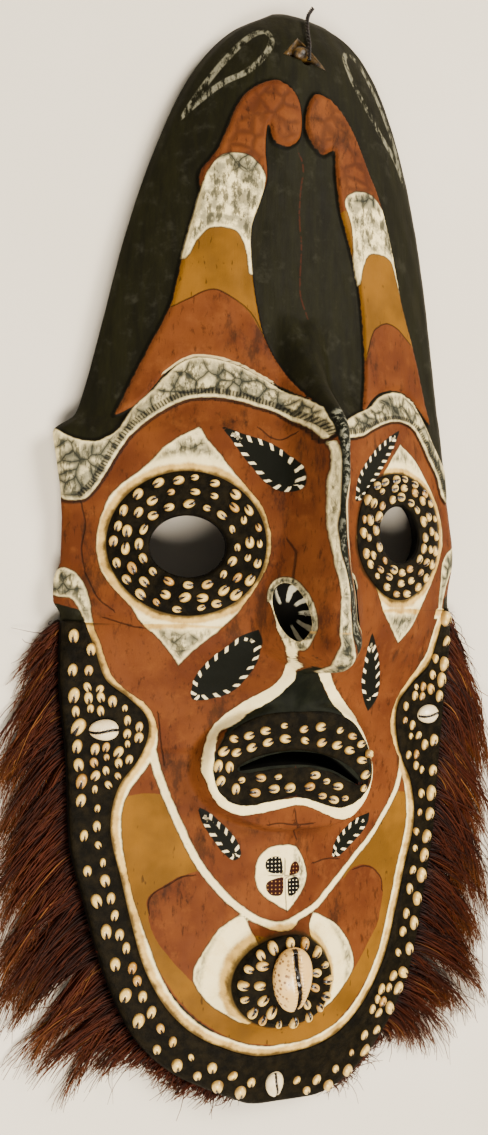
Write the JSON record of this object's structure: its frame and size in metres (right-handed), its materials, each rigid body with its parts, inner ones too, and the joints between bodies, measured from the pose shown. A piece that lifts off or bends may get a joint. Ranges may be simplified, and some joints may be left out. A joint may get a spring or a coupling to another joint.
{
  "type": "tribal mask",
  "caption": "Long carved wooden face mask with painted relief, shell-set paste bands, pierced eyes and a fibre beard fringe.",
  "frame": {"origin": "middle of the box's bottom face, under the middle of the mask as it lies on its back rim", "axes": "+X to the viewer's right across the face, +Y along the face to the crown, +Z out of the face, up as it lies"},
  "size_m": [0.3865, 0.8074, 0.1369],
  "materials": {
    "painted_wood": "earth paint on carved softwood, burnt orange, ochre, cream and olive black",
    "shell_paste": "matt black gum and charcoal paste with small cream shells pressed in",
    "cowrie_shell": "glossy natural shell",
    "wire": "dark painted twisted wire",
    "fibre": "dry dark red-brown plant fibre"
  },
  "bodies": {
    "root": {"mask_body": "painted_wood", "left_eye_paste": "shell_paste", "right_eye_paste": "shell_paste", "lip_paste": "shell_paste", "chin_paste": "shell_paste", "jaw_band_paste": "shell_paste", "left_cheek_cowrie": "cowrie_shell", "right_cheek_cowrie": "cowrie_shell", "chin_cowrie": "cowrie_shell", "rim_cowrie": "cowrie_shell", "hanging_wire": "wire", "left_fringe": "fibre", "right_fringe": "fibre"}
  },
  "joints": []
}
